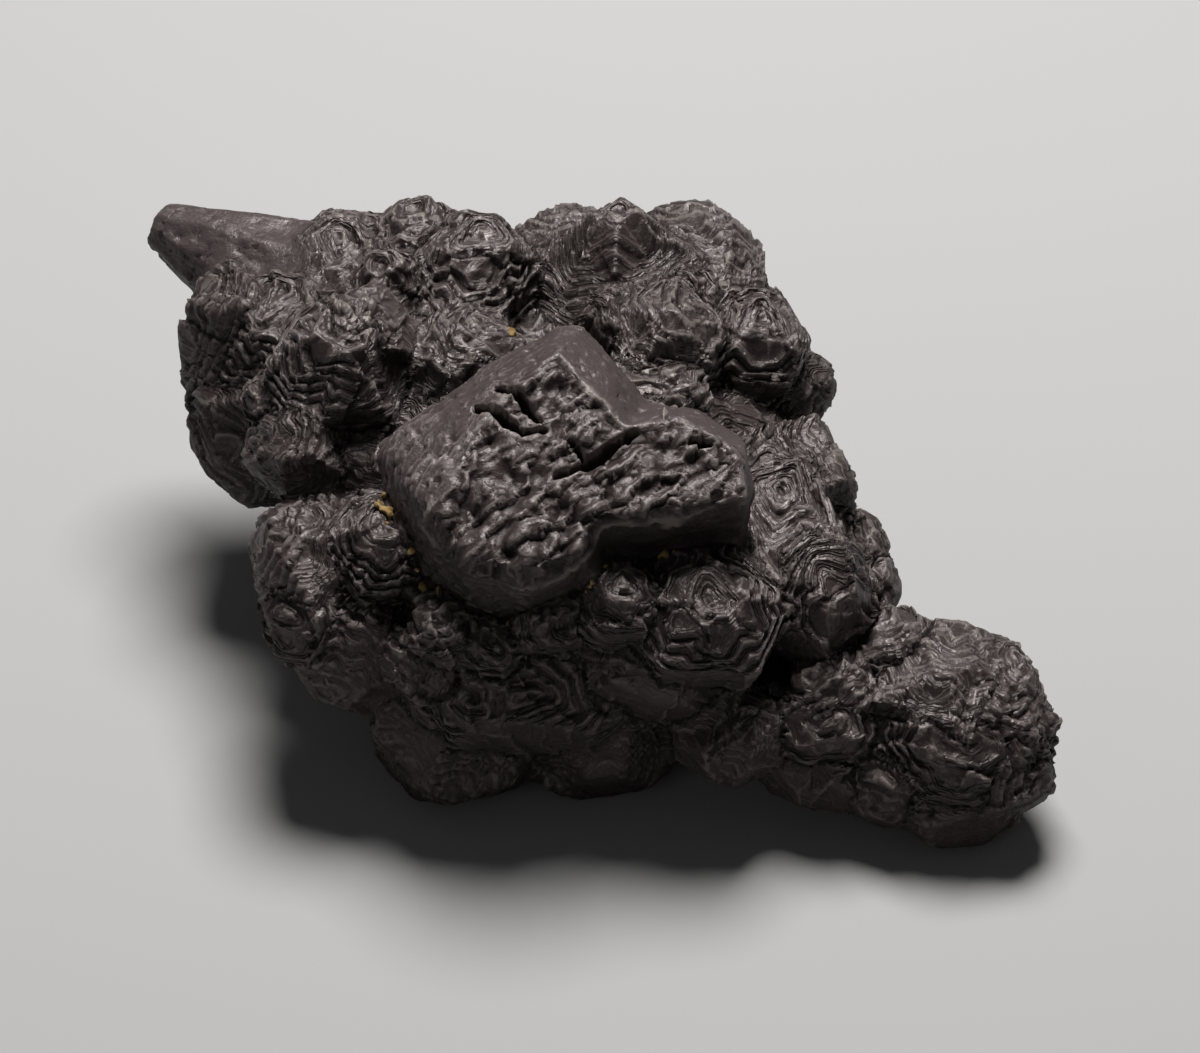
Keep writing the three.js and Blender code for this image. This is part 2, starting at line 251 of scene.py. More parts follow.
class Maker:
    """Writes one node tree. Most methods add nodes and give back what comes out of them."""

    def __init__(self, tree):
        self.tree = tree

    def node(self, kind, plugs=(), **settings):
        """A new node with the given settings, and values plugged into its inputs."""
        made = self.tree.nodes.new(kind)
        for name, value in settings.items():
            setattr(made, name, value)
        for key, value in dict(plugs).items():
            self.plug(made.inputs[key], value)
        return made

    def plug(self, socket, value):
        """Links a field to the socket, or sets a plain value on it."""
        if isinstance(value, Field):
            self.tree.links.new(value.socket, socket)
        elif socket.type == "VECTOR" and isinstance(value, (int, float)):
            socket.default_value = (value, value, value)
        else:
            socket.default_value = value

    def out(self, made, key=0):
        return Field(self, made.outputs[key])

    def join(self, operation, a, b):
        """Math on numbers, or vector math where either side is a vector."""
        if any(isinstance(value, Field) and value.is_vector for value in (a, b)):
            return self.vector(operation, a, b)
        return self.math(operation, a, b)

    def math(self, operation, *values):
        return self.out(self.node("ShaderNodeMath", enumerate(values), operation=operation))

    def vector(self, operation, *values, key=0):
        return self.out(self.node("ShaderNodeVectorMath", enumerate(values), operation=operation), key)

    def clamp(self, value):
        return self.out(self.node("ShaderNodeClamp", {"Value": value}))

    def stored(self, geometry, name, value, kind="FLOAT"):
        """The geometry with the value kept at its points under the name."""
        made = self.node("GeometryNodeStoreNamedAttribute", {
            "Geometry": geometry, "Name": name, "Value": value,
        }, data_type=kind, domain="POINT")
        return self.out(made)

    def split(self, vector):
        made = self.node("ShaderNodeSeparateXYZ", {0: vector})
        return [self.out(made, key) for key in range(3)]

    def combine(self, x, y, z):
        return self.out(self.node("ShaderNodeCombineXYZ", enumerate((x, y, z))))

    def remap(self, value, low, high, to_low=0.0, to_high=1.0):
        """The value taken softly from low..high to to_low..to_high, and held at the ends."""
        made = self.node("ShaderNodeMapRange", enumerate((value, low, high, to_low, to_high)),
                         interpolation_type="SMOOTHSTEP", clamp=True)
        return self.out(made)

    def mix_colour(self, share, a, b):
        """Colour a where share is 0 and colour b where it is 1."""
        made = self.node("ShaderNodeMix", {0: share, 6: a, 7: b}, data_type="RGBA")
        return self.out(made, 2)

    def noise(self, at, size, detail=2.0, roughness=0.5):
        """(number, vector) of noise whose lumps are about size across, both from 0 to 1."""
        made = self.node("ShaderNodeTexNoise", {
            "Vector": at, "Scale": 1.0 / size, "Detail": detail, "Roughness": roughness,
        })
        return self.out(made, 0), self.out(made, 1)

    def cell_edge(self, at, size):
        """How far in from its border a point lies in its cell, where cells are about size across."""
        made = self.node("ShaderNodeTexVoronoi", {"Vector": at, "Scale": 1.0 / size},
                         feature="DISTANCE_TO_EDGE")
        return self.out(made, 0) * size

    def cells(self, at, size):
        """(random vector, middle) of the cell that a point lies in, where cells are about size across."""
        made = self.node("ShaderNodeTexVoronoi", {"Vector": at, "Scale": 1.0 / size})
        return self.out(made, 1), self.out(made, 2)


# ---------------------------------------------------------------------------------------------------------
# Reading the solid
# ---------------------------------------------------------------------------------------------------------


def welded(node):
    """The CAD solid as one closed bmesh, in millimetres."""
    solid = bmesh.new()
    solid.from_mesh(node.data)
    bmesh.ops.remove_doubles(solid, verts=solid.verts, dist=WELD)
    bmesh.ops.scale(solid, vec=(1 / MM, 1 / MM, 1 / MM), verts=solid.verts)
    solid.normal_update()
    solid.faces.ensure_lookup_table()
    return solid


def flood(solid, joins):
    """Each face's group, where the faces on both sides of an edge share one if joins(edge) holds."""
    group = np.full(len(solid.faces), -1)
    count = 0
    for first in solid.faces:
        if group[first.index] >= 0:
            continue
        group[first.index] = count
        front = [first]
        while front:
            face = front.pop()
            for edge in filter(joins, face.edges):
                for other in edge.link_faces:
                    if group[other.index] < 0:
                        group[other.index] = count
                        front.append(other)
        count += 1
    return group


def is_flat(edge):
    return edge.calc_face_angle() < math.radians(FLAT_DEGREES)


def is_no_crease(edge):
    return edge.calc_face_angle_signed() > -math.radians(CREASE_DEGREES)


def joined_small_groups(solid, group, area):
    """The groups again, but each one under SMALLEST_LUMP joins the one it shares the most crease with."""
    group = group.copy()
    while True:
        total = np.bincount(group, area)
        small = [g for g in np.argsort(total) if 0 < total[g] < SMALLEST_LUMP]
        if not small:
            return np.unique(group, return_inverse=True)[1]
        shared = {}
        for edge in solid.edges:
            a, b = (group[face.index] for face in edge.link_faces)
            if a != b and small[0] in (a, b):
                other = b if a == small[0] else a
                shared[other] = shared.get(other, 0.0) + edge.calc_length()
        group[group == small[0]] = max(shared, key=shared.get)


def facet_outlines(solid, facet):
    """The ends of the edges round each facet."""
    outlines = {}
    for edge in solid.edges:
        a, b = (facet[face.index] for face in edge.link_faces)
        if a != b:
            ends = [vert.co[:] for vert in edge.verts]
            outlines.setdefault(a, []).append(ends)
            outlines.setdefault(b, []).append(ends)
    return {key: np.array(ends) for key, ends in outlines.items()}


def frame_from(axis, towards):
    """Rows: a direction across the axis that is turned towards the given one, another across it, the axis."""
    axis = axis / np.linalg.norm(axis)
    first = towards - axis * (towards @ axis)
    first /= np.linalg.norm(first)
    return np.stack([first, np.cross(axis, first), axis])


class Lumps:
    """The lumps that the solid is made of: each one's centre, growth frame and kind."""

    def __init__(self, solid):
        self.solid = solid
        self.area = np.array([face.calc_area() for face in solid.faces])
        self.normal = np.array([face.normal for face in solid.faces])
        self.middle = np.array([face.calc_center_median() for face in solid.faces])
        self.facet = flood(solid, is_flat)
        self.facet_area = np.bincount(self.facet, self.area)
        self.facet_lift = np.bincount(self.facet, self.area * self.normal[:, 2]) / self.facet_area
        self.outlines = facet_outlines(solid, self.facet)
        self.of_face = joined_small_groups(solid, flood(solid, is_no_crease), self.area)
        count = self.of_face.max() + 1
        self.centre = np.zeros((count, 3))
        self.axes = np.zeros((count, 3, 3))
        self.hewn = np.zeros(count)
        turns = np.random.default_rng(TURN_SEED).uniform(0, 2 * math.pi, count)
        for lump, turn in enumerate(turns):
            self.seat(lump, turn)
        self.seat_star()
        self.seat_horn()
        self.bold = self.boldness()

    def seat(self, lump, turn):
        """Finds the lump's centre, the way it grew, and whether it is hewn or chipped all round."""
        own = self.of_face == lump
        weight = self.area[own]
        outward = (self.normal[own] * weight[:, None]).sum(0) / weight.sum()
        outward /= np.linalg.norm(outward)
        reach = math.sqrt(weight.sum() / (2 * math.pi))
        self.centre[lump] = (self.middle[own] * weight[:, None]).sum(0) / weight.sum() - outward * reach / 2
        lean = outward + np.array([0, 0, UPWARD_PULL if outward[2] > LOWEST_PULLED else 0.0])
        # A lump of a single facet has no side to turn to, so chance turns it.
        towards = np.array([math.cos(turn), math.sin(turn), 0.05])
        facets = [f for f in np.unique(self.facet[own]) if self.facet_area[f] > SMALLEST_FACET]
        self.hewn[lump] = len(facets) <= HEWN_FACETS and np.median(self.facet_area[facets]) > HEWN_FACET_AREA
        sides = np.array([self.normal[self.facet == f][0] for f in facets])
        if len(sides) > 0:
            lean = sides[np.argmax(sides[:, 2] if self.hewn[lump] else sides @ lean)]
        if len(sides) > 1:
            towards = sides[np.argmin(np.abs(sides @ lean) / np.linalg.norm(lean))]
        self.axes[lump] = frame_from(lean, towards)

    def seat_star(self):
        """Finds the star's face, the largest facet that looks up, and seats the star on it."""
        largest = np.argmax(np.where(self.facet_lift > STAR_LEAST_LIFT, self.facet_area, 0))
        own = self.facet == largest
        outward = (self.normal * (self.area * own)[:, None]).sum(0)
        outward /= np.linalg.norm(outward)
        level = (self.middle - self.middle[own][0]) @ outward
        agrees = self.normal @ outward > STAR_FACE_AGREES
        self.star_faces = np.flatnonzero((np.abs(level) < STAR_FACE_LEVEL) & agrees)
        self.star = self.of_face[self.star_faces[np.argmax(self.area[self.star_faces])]]
        weight = self.area[self.star_faces]
        self.centre[self.star] = (self.middle[self.star_faces] * weight[:, None]).sum(0) / weight.sum()
        self.axes[self.star] = frame_from(outward, np.array([1.0, 0.0, 0.0]))

    def seat_horn(self):
        """Turns the horn, the lump that reaches furthest along -X, towards its own tip."""
        tip = min(self.solid.verts, key=lambda vert: vert.co.x)
        self.horn = self.of_face[tip.link_faces[0].index]
        grown = np.array(tip.co) - self.centre[self.horn]
        self.axes[self.horn] = frame_from(grown, np.array([0.0, 0.0, 1.0]))

    def boldness(self):
        """How boldly each face is stepped: by chance, more where its facet looks up, less on a hewn lump."""
        chance = np.random.default_rng(BOLD_SEED).uniform(0, 1, len(self.facet_lift))
        bold = np.clip(chance * CHANCE_BOLDNESS + self.facet_lift * LIFT_BOLDNESS, 0, 1)
        bold = PLAINEST + (1 - PLAINEST) * bold
        return bold[self.facet] * np.where(self.hewn[self.of_face] > 0, HEWN_BOLDNESS, 1)

    def star_rim(self):
        """The edges round the star's face, as (starts, ends)."""
        inside = set(self.star_faces)
        rim = [edge for edge in self.solid.edges
               if sum(face.index in inside for face in edge.link_faces) == 1]
        ends = np.array([[vert.co for vert in edge.verts] for edge in rim])
        return ends[:, 0], ends[:, 1]

    def in_frame(self, points, lump):
        """The points in the lump's own frame."""
        return (points - self.centre[lump]) @ self.axes[lump].T

    def inset(self, points, face):
        """Each point's distance from the outline of the flat facet that it lies on."""
        facet = self.facet[face]
        order = np.argsort(facet, kind="stable")
        firsts = np.flatnonzero(np.diff(facet[order], prepend=-1))
        distance = np.zeros(len(points))
        for own in np.split(order, firsts[1:]):
            ends = self.outlines[facet[own[0]]]
            distance[own] = distance_to_edges(points[own], ends[:, 0], ends[:, 1])
        return distance

    def slot_gap(self, points):
        """Each point's distance outside the nearest of the star's slots, measured along its face."""
        corners = np.array([vert.co for i in self.star_faces for vert in self.solid.faces[i].verts])
        corners = self.in_frame(corners, self.star)[:, :2]
        low, size = corners.min(0), np.ptp(corners, axis=0)
        flat = self.in_frame(points, self.star)[:, :2]
        nearest = np.full(len(points), np.inf)
        for slot in SLOTS:
            way = low + np.stack([slot["along"], slot["up"]], 1) * size
            length = np.linalg.norm(way[-1] - way[0])
            middle = way.mean(0)
            taper = 1 - np.linalg.norm(flat - middle, axis=1) / length
            half = slot["width"] * np.clip(taper, THINNEST_SLOT, 1) * SLOT_REACH
            gap = distance_to_edges(flat, way[:-1], way[1:]) - half
            nearest = np.minimum(nearest, gap)
        return nearest


def distance_to_edges(points, starts, ends):
    """Each point's distance to the nearest of the edges."""
    nearest = np.full(len(points), np.inf)
    for start, end in zip(starts, ends):
        along = end - start
        share = np.clip((points - start) @ along / (along @ along), 0, 1)
        gap = np.linalg.norm(points - start - share[:, None] * along, axis=1)
        nearest = np.minimum(nearest, gap)
    return nearest


# ---------------------------------------------------------------------------------------------------------
# Mesh arrays
# ---------------------------------------------------------------------------------------------------------


def read(items, name, width, kind=np.float32):
    """One property of all the items as an array, a row for each item where it has a width."""
    values = np.empty(len(items) * width, kind)
    items.foreach_get(name, values)
    return values.reshape(-1, width) if width > 1 else values


def write_attribute(mesh, name, values):
    vector = values.ndim == 2
    attribute = mesh.attributes.new(name, "FLOAT_VECTOR" if vector else "FLOAT", "POINT")
    attribute.data.foreach_set("vector" if vector else "value", values.astype(np.float32).ravel())


def read_attribute(mesh, name):
    attribute = mesh.attributes[name]
    vector = attribute.data_type == "FLOAT_VECTOR"
    return read(attribute.data, "vector" if vector else "value", 3 if vector else 1)


def blurred(values, edges, rounds):
    """Values averaged with their neighbours' along the edges, over and over."""
    count = len(values)
    ends = np.concatenate([edges[:, 0], edges[:, 1]])
    others = np.concatenate([edges[:, 1], edges[:, 0]])
    degree = np.bincount(ends, minlength=count)
    columns = values.reshape(count, -1).astype(float)
    for _ in range(rounds):
        sums = [np.bincount(ends, column[others], minlength=count) for column in columns.T]
        columns = (columns + np.stack(sums, 1)) / (1 + degree)[:, None]
    return columns.reshape(values.shape)


def evaluated_mesh(piece):
    """The object's mesh with its modifiers applied, as a new mesh."""
    graph = bpy.context.evaluated_depsgraph_get()
    return bpy.data.meshes.new_from_object(piece.evaluated_get(graph))


def new_object(name, mesh):
    made = bpy.data.objects.new(name, mesh)
    bpy.context.scene.collection.objects.link(made)
    return made


def take_mesh(piece, mesh):
    """Gives the object a finished mesh and drops its modifiers."""
    old = piece.data
    piece.modifiers.clear()
    piece.data = mesh
    bpy.data.meshes.remove(old)


# ---------------------------------------------------------------------------------------------------------
# The stone
# ---------------------------------------------------------------------------------------------------------


def remesh(piece, voxel):
    """Makes the object one closed skin of even quads, each about a voxel wide."""
    skin = piece.modifiers.new("skin", "REMESH")
    skin.mode = "VOXEL"
    skin.voxel_size = voxel
    skin.use_smooth_shade = True
    take_mesh(piece, evaluated_mesh(piece))


def swell(mesh, amount):
    """Moves the skin outwards by the given amount, or inwards where it is negative."""
    edges = read(mesh.edges, "vertices", 2, np.int32)
    normals = blurred(read(mesh.vertices, "normal", 3), edges, SWELL_ROUNDS)
    normals /= np.linalg.norm(normals, axis=1)[:, None]
    points = read(mesh.vertices, "co", 3) + normals * amount
    mesh.vertices.foreach_set("co", points.astype(np.float32).ravel())
    mesh.update()


def soften(mesh, rounds):
    """Blunts the mesh by averaging every point with its neighbours."""
    edges = read(mesh.edges, "vertices", 2, np.int32)
    points = blurred(read(mesh.vertices, "co", 3), edges, rounds)
    mesh.vertices.foreach_set("co", points.astype(np.float32).ravel())
    mesh.update()


def grow_together(piece):
    """Closes the narrow crevices between lumps, and leaves their facets as they were."""
    faceted = piece.data.copy()
    remesh(piece, ROUGH_VOXEL)
    swell(piece.data, CREVICE_REACH)
    remesh(piece, ROUGH_VOXEL)
    swell(piece.data, -CREVICE_REACH)
    both = bmesh.new()
    both.from_mesh(piece.data)
    both.from_mesh(faceted)
    both.to_mesh(piece.data)
    both.free()
    bpy.data.meshes.remove(faceted)
    remesh(piece, ROUGH_VOXEL)
    soften(piece.data, BLUNT_ROUNDS)


def mark_growth(mesh, lumps):
    """Stores each point's place in its lump's growth frame, that lump's axis, and what kind of skin it is."""
    tree = BVHTree.FromBMesh(lumps.solid)
    points = read(mesh.vertices, "co", 3).astype(float)
    face = np.array([tree.find_nearest(point)[2] for point in points])
    lump = lumps.of_face[face]
    grown = np.einsum("nij,nj->ni", lumps.axes[lump], points - lumps.centre[lump])
    edges = read(mesh.edges, "vertices", 2, np.int32)
    on_face = np.isin(face, lumps.star_faces)
    rim = distance_to_edges(points, *lumps.star_rim())
    rim = np.where(lump == lumps.star, np.where(on_face, rim, -rim), NO_RIM)
    is_star = (lump == lumps.star).astype(float)
    is_horn = (lump == lumps.horn).astype(float)
    upward = read(mesh.vertices, "normal", 3)[:, 2]
    under = np.clip((UNDER_TOP - points[:, 2]) / UNDER_DEPTH, 0, 1) * np.clip(-upward * 2, 0, 1)
    slot = np.where(is_star > 0, lumps.slot_gap(points), NO_SLOT)
    plain = {"grown": grown, "axis": lumps.axes[lump, 2], "slot": slot, "rim": rim, "under": under}
    soft = {"bold": lumps.bold[face], "inset": lumps.inset(points, face), "star": is_star, "horn": is_horn}
    for name, values in plain.items():
        write_attribute(mesh, name, values)
    for name, values in soft.items():
        write_attribute(mesh, name, blurred(values, edges, BLUR_ROUNDS[name]))


def tree_with(name, sizes):
    """A Geometry Nodes tree with the named inputs, its maker, its input node and its input values."""
    tree = bpy.data.node_groups.new(name, "GeometryNodeTree")
    face = tree.interface
    face.new_socket("Geometry", in_out="INPUT", socket_type="NodeSocketGeometry")
    for label, value in sizes.items():
        socket = face.new_socket(label, in_out="INPUT", socket_type="NodeSocketFloat")
        socket.default_value = value
    face.new_socket("Material", in_out="INPUT", socket_type="NodeSocketMaterial")
    face.new_socket("Geometry", in_out="OUTPUT", socket_type="NodeSocketGeometry")
    make = Maker(tree)
    given = make.node("NodeGroupInput")
    return tree, make, given, {label: make.out(given, label) for label in sizes}


def finish_tree(make, given, geometry):
    """Sets the material on the geometry and gives it out of the tree."""
    real = make.node("GeometryNodeRealizeInstances", {"Geometry": geometry})
    dressed = make.node("GeometryNodeSetMaterial",
                        {"Geometry": make.out(real), "Material": make.out(given, "Material")})
    make.node("NodeGroupOutput", {0: make.out(dressed)})


def attribute(make, name, kind="FLOAT"):
    """What is stored on the skin under the name."""
    return make.out(make.node("GeometryNodeInputNamedAttribute", {"Name": name}, data_type=kind))


def bent_skin_tree():
    """Geometry Nodes that bend the plain skin, round off the star, and store where it is rough or smooth."""
    tree, make, given, size = tree_with("bent skin", {
        "Warp": 0.5, "Star Sag": 0.004, "Most Sag": 150.0, "Fray": 3.6,
    })
    grown = attribute(make, "grown", "FLOAT_VECTOR")
    axis = attribute(make, "axis", "FLOAT_VECTOR")
    star = attribute(make, "star")
    horn = attribute(make, "horn")
    rim = attribute(make, "rim")
    place = make.out(make.node("GeometryNodeInputPosition"))
    _, drift = make.noise(place, 6.0, 2.0)
    along, up, _ = make.split(grown)
    away = make.math("MINIMUM", along * along + up * up, size["Most Sag"])
    warp = (drift - 0.5) * size["Warp"] * (1.0 + star * 1.2)
    moved = place + warp - axis * (away * size["Star Sag"] * star)
    bent = make.out(make.node("GeometryNodeSetPosition",
                              {"Geometry": make.out(given, "Geometry"), "Position": moved}))
    patchy, _ = make.noise(grown, 3.0, 3.0, 0.6)
    low_side = make.remap(up, -1.0, -5.0, 0.0, 2.2)
    frayed = rim + (patchy - 0.5) * size["Fray"] + low_side
    face = make.remap(frayed, 0.0, 0.5) * make.remap(star, 0.3, 0.7)
    broken, _ = make.noise(grown + BROKEN_LINE_AT, 3.5, 1.0)
    line = make.remap(make.math("ABSOLUTE", frayed), 0.4, 0.1) * make.remap(broken, 0.45, 0.55) * star
    smooth = make.math("MAXIMUM", horn, star * (1.0 - face))
    for name, value in (("face", face), ("smooth", smooth), ("line", line)):
        bent = make.stored(bent, name, value)
    finish_tree(make, given, bent)
    return tree


def growth_height(make, grown, inset, bud_size):
    """How high a point lies among a lump's growth layers.

    The layers step up from every facet's outline, and buds shift and dome them, cell by cell.
    """
    _, drift = make.noise(grown, DRIFT_SIZE, 1.0)
    seated = grown + (drift - 0.5) * DRIFT
    chance, _ = make.cells(seated, bud_size)
    border = make.cell_edge(seated, bud_size)
    shift, _, _ = make.split(chance)
    _, _, z = make.split(seated)
    return z + inset * INSET_RISE + (shift - 0.5) * bud_size * BUD_SHIFT + border * BUD_DOME


def flakes(make, grown, size):
    """The height of long flakes that lie over each other like bark, each rising to an edge at its far end."""
    along, up, depth = make.split(grown)
    far = along * FLAKE_WAY[0] + up * FLAKE_WAY[1]
    wide = along * -FLAKE_WAY[1] + up * FLAKE_WAY[0]
    at = make.combine(far * FLAKE_SQUEEZE[0], wide * FLAKE_SQUEEZE[1], depth * FLAKE_SQUEEZE[2])
    _, bend = make.noise(grown, size * 1.8, 1.0)
    at = at + (bend - 0.5) * size * 1.6
    chance, middle = make.cells(at, size)
    x, y, _ = make.split(at - middle)
    share, tilt, _ = make.split(chance)
    return x * 0.12 - y * (0.1 + tilt * 0.45) + (share - 0.5) * size * 0.26


def terraced(make, height, step, sharp):
    """How far the height must be moved to stand on the nearest of the levels that lie a step apart."""
    level = height / step
    foot = make.math("FLOOR", level)
    share = level - foot
    return (make.remap(share, 0.5 - sharp, 0.5 + sharp) - share) * step


def blurred_value(make, value, rounds):
    """The vector averaged with its neighbours' over the mesh, over and over."""
    made = make.node("GeometryNodeBlurAttribute", {"Value": value, "Iterations": rounds},
                     data_type="FLOAT_VECTOR")
    return make.out(made)


def layered(skin):
    """How far the skin is a lump's stepped one, and not the star's, the horn's or an underside."""
    return (1.0 - skin["smooth"]) * (1.0 - skin["face"]) * (1.0 - skin["under"] * 0.5)


def growth_relief(make, size, skin, place, normal):
    """How far the growth steps lift the skin along its lump's axis, and how far their ledges stand out."""
    grown, inset = skin["grown"], skin["inset"]
    share = layered(skin)
    patch, _ = make.noise(place, 4.5, 2.0)
    bold = make.remap(patch, 0.38, 0.6, 0.7, 1.15) * skin["bold"]
    height = growth_height(make, grown, inset, size["Bud Size"])
    small_height = growth_height(make, grown + SMALL_BUDS_AT, inset, size["Small Bud"])
    steps = terraced(make, height, size["Coarse Step"], 0.2) * 0.85
    fine_steps = terraced(make, small_height, size["Fine Step"], 0.22) * 0.5
    facing = make.vector("DOT_PRODUCT", normal, skin["axis"], key=1)
    mound = make.math("MINIMUM", inset, size["Mound Reach"]) * size["Mound Rise"]
    mound = mound * make.remap(facing, 0.3, 0.9) * share
    sideways = make.math("SQRT", make.clamp(1.0 - facing * facing))
    saw = 1.0 - make.math("FRACT", height / size["Coarse Step"] + 0.5)
    ledges = (saw ** 1.5 - 0.4) * size["Ledge"] * bold * sideways * share
    return (steps + fine_steps) * bold * share + mound, ledges


def crumple(make, size, skin):
    """How far a weak pattern of broad flakes lifts the stepped skin along its normal."""
    return flakes(make, skin["grown"] + CRUMPLE_AT, CRUMPLE_SIZE) * size["Crumple"] * layered(skin)


def face_relief(make, size, skin):
    """How far the flakes and hollows of the star's face lift the skin along its normal."""
    grown = skin["grown"]
    hollow, _ = make.noise(grown, 2.9, 1.0)
    hollows = make.remap(hollow, 0.35, 0.55, -1.8, 0.2) * size["Face Relief"]
    strength, _ = make.noise(grown + FLAKE_STRENGTH_AT, 3.0, 1.0)
    large = flakes(make, grown, FLAKE_SIZE) * make.remap(strength, 0.35, 0.6, 0.45, 1.0)
    small = flakes(make, grown + SMALL_FLAKES_AT, SMALL_FLAKE_SIZE) * 0.7
    return (large + small + hollows) * skin["face"]


def slot_depth(make, size, skin):
    """How deep the star's slots are cut."""
    wander, _ = make.noise(skin["grown"], 0.9, 2.0)
    inside = make.remap(skin["slot"] + (wander - 0.5) * 0.5, 0.05, -0.25)
    return inside * make.remap(skin["star"], 0.3, 0.7) * size["Slot Depth"]


def flank_relief(make, skin):
    """How far the ripples, steps, stripes and pits of the star's flanks and the horn lift the skin."""
    grown, star, rim = skin["grown"], skin["star"], skin["rim"]
    along, up, depth = make.split(grown)
    layers, _ = make.noise(make.combine(along * 0.3, up * 0.3, rim * 1.3), 1.0, 3.0, 0.65)
    stripes, _ = make.noise(make.combine(along * 1.2, up * 1.2, depth * 0.18), 1.6, 3.0, 0.6)
    pits, _ = make.noise(grown, 0.9, 2.0, 0.6)
    wavy, _ = make.noise(grown, 4.0, 2.0)
    stepped = terraced(make, rim + layers * 1.6 + wavy * 5.0, 0.8, 0.16)
    stepped = stepped * make.remap(wavy, 0.4, 0.6, 0.4, 1.0) * make.remap(along, 1.0, -6.0, 0.08, 0.65) * star
    ripples = (layers - 0.5) * 0.45 * star
    striped = (stripes - 0.5) * 0.7 * skin["horn"]
    pitted = make.remap(pits, 0.58, 0.68) * 0.2
    return (ripples + stepped + striped - pitted) * skin["smooth"]


def relief_tree(plain_skin):
    """Geometry Nodes that raise the whole relief, and store where it looks up and has edges and crevices.

    What kind of skin it is comes from the nearest place on the plain skin.
    """
    tree, make, given, size = tree_with("skin relief", {
        "Coarse Step": 0.9, "Fine Step": 0.36, "Ledge": 0.2, "Bud Size": 3.4, "Small Bud": 1.6,
        "Mound Reach": 2.8, "Mound Rise": 0.26, "Crumple": 0.3, "Grain": 0.05, "Rim Line": 0.12,
        "Face Relief": 0.3, "Slot Depth": 1.8, "Sharpness": 0.8,
    })
    place = make.out(make.node("GeometryNodeInputPosition"))
    normal = make.out(make.node("GeometryNodeInputNormal"))
    plain = make.out(make.node("GeometryNodeObjectInfo", {"Object": plain_skin}), "Geometry")
    known = make.out(given, "Geometry")
    for name, kind in SKIN_VALUES.items():
        nearest = make.node("GeometryNodeSampleNearestSurface", {
            "Mesh": plain, "Value": attribute(make, name, kind), "Sample Position": place,
        }, data_type=kind)
        known = make.stored(known, name, make.out(nearest), kind)
    skin = {name: attribute(make, name, kind) for name, kind in SKIN_VALUES.items()}

    bulge = place - blurred_value(make, place, SHARPEN_ROUNDS)
    crisp = make.out(make.node("GeometryNodeSetPosition", {
        "Geometry": known, "Offset": bulge * size["Sharpness"] * (1.0 - skin["under"]),
    }))
    lift, ledges = growth_relief(make, size, skin, place, normal)
    fine, _ = make.noise(skin["grown"], 0.55, 3.0, 0.6)
    grains = (fine - 0.5) * size["Grain"] * 2.0 * (1.0 - skin["smooth"] * 0.6)
    rise = (grains + face_relief(make, size, skin) + ledges + flank_relief(make, skin)
            + crumple(make, size, skin) + skin["line"] * size["Rim Line"])
    offset = normal * rise + skin["axis"] * (lift - slot_depth(make, size, skin))
    x, y, z = make.split(place + offset)
    above_ground = make.combine(x, y, make.math("MAXIMUM", z, 0.0))
    settled = make.out(make.node("GeometryNodeSetPosition", {"Geometry": crisp, "Position": above_ground}))
    _, _, upward = make.split(blurred_value(make, normal, LIFT_ROUNDS))
    settled = make.stored(settled, "lift", upward)
    for name, rounds in (("edge", EDGE_ROUNDS), ("crevice", CREVICE_ROUNDS)):
        gap = make.vector("DOT_PRODUCT", blurred_value(make, place, rounds) - place, normal, key=1)
        settled = make.stored(settled, name, gap)
    finish_tree(make, given, settled)
    return tree


def set_inputs(modifier, **values):
    """Sets a Geometry Nodes modifier's inputs by the names they show."""
    sockets = {item.name: item.identifier for item in modifier.node_group.interface.items_tree
               if item.item_type == "SOCKET" and item.in_out == "INPUT"}
    for name, value in values.items():
        modifier[sockets[name.replace("_", " ")]] = value


def thin_out(piece):
    """Brings the object down to MOST_TRIANGLES triangles, where the surface is flattest first."""
    triangles = sum(len(polygon.vertices) - 2 for polygon in piece.data.polygons)
    thin = piece.modifiers.new("thin", "DECIMATE")
    thin.ratio = MOST_TRIANGLES / triangles
    thin.use_collapse_triangulate = True
    take_mesh(piece, evaluated_mesh(piece))


def run_tree(piece, tree, **values):
    """Runs a Geometry Nodes tree on the object and keeps the result as its mesh."""
    run = piece.modifiers.new(tree.name, "NODES")
    run.node_group = tree
    set_inputs(run, **values)
    take_mesh(piece, evaluated_mesh(piece))


def stone_piece(node, finish):
    """The whole stone as one mesh, and the lumps that it was read from."""
    lumps = Lumps(welded(node))
    rough = bpy.data.meshes.new("rough")
    lumps.solid.to_mesh(rough)
    piece = new_object("visual_stone", rough)
    grow_together(piece)
    mark_growth(piece.data, lumps)
    run_tree(piece, bent_skin_tree(), Material=finish)
    plain_skin = new_object("plain skin", piece.data.copy())
    remesh(piece, SKIN_VOXEL)
    soften(piece.data, BLUNT_ROUNDS)
    run_tree(piece, relief_tree(plain_skin), Material=finish)
    bpy.data.objects.remove(plain_skin)
    thin_out(piece)
    piece.data.transform(Matrix.Scale(MM, 4))
    piece.data.polygons.foreach_set("use_smooth", [True] * len(piece.data.polygons))
    return piece, lumps


# ---------------------------------------------------------------------------------------------------------
# The clay
# ---------------------------------------------------------------------------------------------------------


